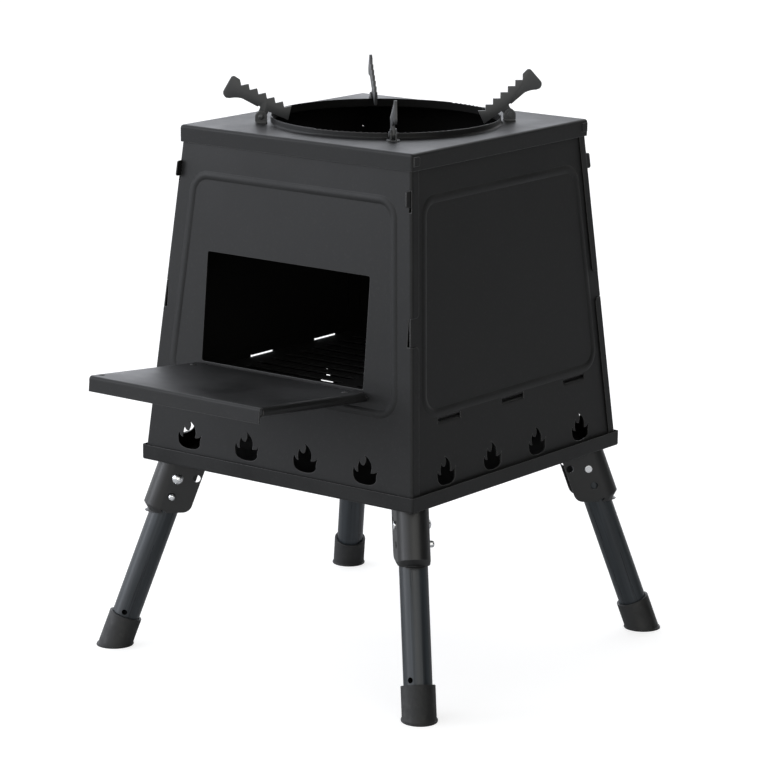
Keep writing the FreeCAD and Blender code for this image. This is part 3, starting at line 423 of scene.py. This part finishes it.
def model_foot():
    """Moulded rubber foot: a leaning cup, cut level where it stands, with a thin flange round its sole."""
    bpy.ops.mesh.primitive_cylinder_add(vertices=FOOT_SIDES, radius=FOOT_RADIUS, depth=2 * FOOT_HEIGHT,
                                        end_fill_type="NGON", location=(0, 0, 0))
    foot = bpy.context.object
    only(foot)
    bpy.ops.object.mode_set(mode="EDIT")
    pick_faces(foot, lambda face: face.normal.z > LEVEL)
    bpy.ops.mesh.inset(thickness=FOOT_RADIUS - TUBE_RADIUS - FOOT_BORE_PLAY)
    bpy.ops.mesh.extrude_region_move(TRANSFORM_OT_translate={"value": (0, 0, FOOT_SOLE - FOOT_HEIGHT)})
    bpy.ops.object.mode_set(mode="OBJECT")
    foot.rotation_euler = (0, -math.radians(LEG_SPLAY), 0)
    settle(foot)
    bpy.ops.object.mode_set(mode="EDIT")
    cut_level(-FOOT_FLANGE_HEIGHT, use_fill=True, clear_inner=True)
    cut_level(FOOT_FLANGE_HEIGHT)
    pick_faces(foot, lambda face: face.center.z < FOOT_FLANGE_HEIGHT and abs(face.normal.z) < LEVEL)
    bpy.ops.mesh.extrude_region_shrink_fatten(TRANSFORM_OT_shrink_fatten={"value": FOOT_FLANGE})
    cut_level(0, use_fill=True, clear_inner=True)
    bpy.ops.object.mode_set(mode="OBJECT")
    round_over(foot, FOOT_ROUNDING, sharper_than=40)
    foot.data.materials.append(foot_rubber)
    return foot


def place_foot(pattern, corner):
    """Copy of the modelled foot, under one leg."""
    turn = math.radians(LEG_TURNS[corner])
    reach = LEG_PIVOT_RADIUS + LEG_LENGTH * math.sin(math.radians(LEG_SPLAY))
    foot = own_copy(pattern, "rubber_foot_" + corner)
    foot.rotation_euler = (0, 0, turn)
    foot.location = (reach * math.cos(turn), reach * math.sin(turn), 0)
    settle(foot)
    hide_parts("foot_cap_" + corner)
    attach(foot, "leg_" + corner)


def make_soft_plate(node, name, body, rounding, finish):
    """Copy of a plate that was cut from sheet, with its cut edges rounded over."""
    plate = own_copy(stove[node], name)
    only(plate)
    bpy.ops.mesh.customdata_custom_splitnormals_clear()
    bpy.ops.object.mode_set(mode="EDIT")
    bpy.ops.mesh.select_all(action="SELECT")
    bpy.ops.mesh.remove_doubles(threshold=MERGE_DISTANCE)
    bpy.ops.mesh.dissolve_limited(angle_limit=math.radians(FLAT_ANGLE))
    bpy.ops.object.mode_set(mode="OBJECT")
    round_over(plate, rounding, sharper_than=30)
    plate.material_slots[0].material = finish
    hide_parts(node)
    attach(plate, body)
    return plate


def make_toothed_arm(corner):
    """Toothed pot support that swings in its clevis."""
    make_soft_plate("pot_support_" + corner, "toothed_arm_" + corner, "pot_arm_" + corner,
                    ARM_ROUNDING, support_paint)


def make_leaf_spring(corner):
    """Leaf behind a lock button, copied with its edges rounded and given a mesh of its own."""
    spring = make_soft_plate("snap_spring_" + corner, "leaf_spring_" + corner, "leg_" + corner,
                             SPRING_ROUNDING, spring_steel)
    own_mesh(spring)


foot_pattern = model_foot()
for corner in LEG_TURNS:
    place_foot(foot_pattern, corner)
    make_toothed_arm(corner)
    make_leaf_spring(corner)
bpy.data.objects.remove(foot_pattern)


# Stage: a white floor in a studio that is bright behind and to the left of the stove, and dim to its right

FLOOR_SIZE = 24
FLOOR_GLOW = 0.70
ROOM_GLOW = 0.022

# Light is a little cooler from the left than from the right
LEFT_TINT = (0.96, 0.985, 1.045, 1)
RIGHT_TINT = (1.00, 0.99, 0.95, 1)
NO_TINT = (1, 1, 1, 1)

# Glowing panels all round: direction, how near to it the light starts and is full, and strength
PANELS = [
    ((-0.60, 0.78, 0.22), (0.45, 0.95), 2.15),
    ((-0.78, -0.62, 0.18), (0.35, 0.95), 1.5),
    ((0.10, -0.98, 0.12), (0.60, 0.98), 0.6),
    ((0.76, -0.56, 0.38), (0.80, 0.97), 1.25),
    ((-0.10, 0.00, 1.00), (0.55, 1.00), 0.35),
]

# Softboxes: name, place, aim, width and height, power in watts, and tint
SOFTBOXES = [
    ("left_softbox", (-1.95, -1.9, 1.0), (0, 0, 0.3), (0.9, 1.5), 16, LEFT_TINT),
    ("low_softbox", (1.35, -1.5, 0.22), (0, 0, 0.4), (1.8, 0.44), 0.9, RIGHT_TINT),
]


def make_floor():
    """White floor; its glow for the camera alone keeps it white, so that only the faint shadow shows."""
    bpy.ops.mesh.primitive_grid_add(x_subdivisions=8, y_subdivisions=8, size=FLOOR_SIZE)
    floor = bpy.context.object
    floor.name = "white_floor"
    material, tree, surface = new_material("white_floor")
    surface.inputs["Base Color"].default_value = (0.5, 0.5, 0.5, 1)
    surface.inputs["Roughness"].default_value = 0.9
    surface.inputs["Specular IOR Level"].default_value = 0.0
    surface.inputs["Emission Color"].default_value = (1, 1, 1, 1)
    path = shader_node(tree, "ShaderNodeLightPath")
    glow = combine(tree, "MULTIPLY", path.outputs["Is Camera Ray"], FLOOR_GLOW)
    wire(tree, glow, surface.inputs["Emission Strength"])
    floor.data.materials.append(material)


def add_softbox(name, place, aim, size, power, tint):
    light = bpy.data.lights.new(name, "AREA")
    light.shape = "RECTANGLE"
    light.size, light.size_y = size
    light.energy = power
    light.color = tint[:3]
    lamp = bpy.data.objects.new(name, light)
    bpy.context.scene.collection.objects.link(lamp)
    lamp.visible_camera = False
    lamp.location = place
    lamp.rotation_euler = (Vector(aim) - Vector(place)).to_track_quat("-Z", "Y").to_euler()


def panel_glow(tree, around, direction, spread_from, strength):
    """Light of one panel: full towards its direction, and fading out around it."""
    starts_at, full_at = spread_from
    facing = shader_node(tree, "ShaderNodeVectorMath", {"operation": "DOT_PRODUCT"})
    wire(tree, around, facing.inputs[0])
    facing.inputs[1].default_value = Vector(direction).normalized()
    glow = shader_node(tree, "ShaderNodeMapRange", {"interpolation_type": "SMOOTHSTEP"},
                       From_Min=starts_at, From_Max=full_at, To_Min=0.0, To_Max=strength)
    wire(tree, facing.outputs["Value"], glow.inputs["Value"])
    return glow.outputs["Result"]


def make_studio():
    """World of soft glowing panels, which the camera sees as plain white."""
    world = bpy.data.worlds.new("studio")
    bpy.context.scene.world = world
    world.use_nodes = True
    tree = world.node_tree
    background = tree.nodes["Background"]
    around = shader_node(tree, "ShaderNodeTexCoord").outputs["Generated"]
    by_camera = shader_node(tree, "ShaderNodeLightPath").outputs["Is Camera Ray"]
    total = ROOM_GLOW
    for panel in PANELS:
        total = combine(tree, "ADD", panel_glow(tree, around, *panel), total)
    wire(tree, combine(tree, "MAXIMUM", total, by_camera), background.inputs["Strength"])
    across = shader_node(tree, "ShaderNodeSeparateXYZ")
    wire(tree, around, across.inputs["Vector"])
    leftness = spread(tree, across.outputs["X"], low=0.3, high=-0.3, to_low=0.0, to_high=1.0)
    tint = blend_colour(tree, leftness, RIGHT_TINT, LEFT_TINT)
    wire(tree, blend_colour(tree, by_camera, tint, NO_TINT), background.inputs["Color"])


make_floor()
make_studio()
for softbox in SOFTBOXES:
    add_softbox(*softbox)
bpy.context.scene.view_settings.view_transform = "Standard"


# Camera, at the photograph's viewing angle; its focal length is in pixels of the photograph's width

PHOTO_WIDTH = 760
CAMERA_FOCAL = 3370.7
CAMERA_AZIMUTH = 37.25
CAMERA_ELEVATION = 12.97
CAMERA_ROLL = 0.5
CAMERA_DISTANCE = 3.0466
CAMERA_TARGET = Vector((0, 0, 0.241))
CAMERA_SHIFT = -0.0046
CAMERA_REACH = 60
SENSOR_WIDTH = 36


def add_camera():
    azimuth = math.radians(CAMERA_AZIMUTH)
    elevation = math.radians(CAMERA_ELEVATION)
    roll = math.radians(CAMERA_ROLL)
    back = Vector((math.sin(azimuth) * math.cos(elevation), -math.cos(azimuth) * math.cos(elevation),
                   math.sin(elevation)))
    right = Vector((math.cos(azimuth), math.sin(azimuth), 0))
    up = back.cross(right)
    turned_right = right * math.cos(roll) + up * math.sin(roll)
    turned_up = up * math.cos(roll) - right * math.sin(roll)
    turn = Matrix((turned_right, turned_up, back)).transposed().to_4x4()
    camera = bpy.data.objects.new("photo_camera", bpy.data.cameras.new("photo_camera"))
    bpy.context.scene.collection.objects.link(camera)
    camera.matrix_world = Matrix.Translation(CAMERA_TARGET + back * CAMERA_DISTANCE) @ turn
    camera.data.sensor_width = SENSOR_WIDTH
    camera.data.lens = CAMERA_FOCAL / PHOTO_WIDTH * SENSOR_WIDTH
    camera.data.shift_x = CAMERA_SHIFT
    camera.data.clip_end = CAMERA_REACH
    bpy.context.scene.camera = camera


add_camera()
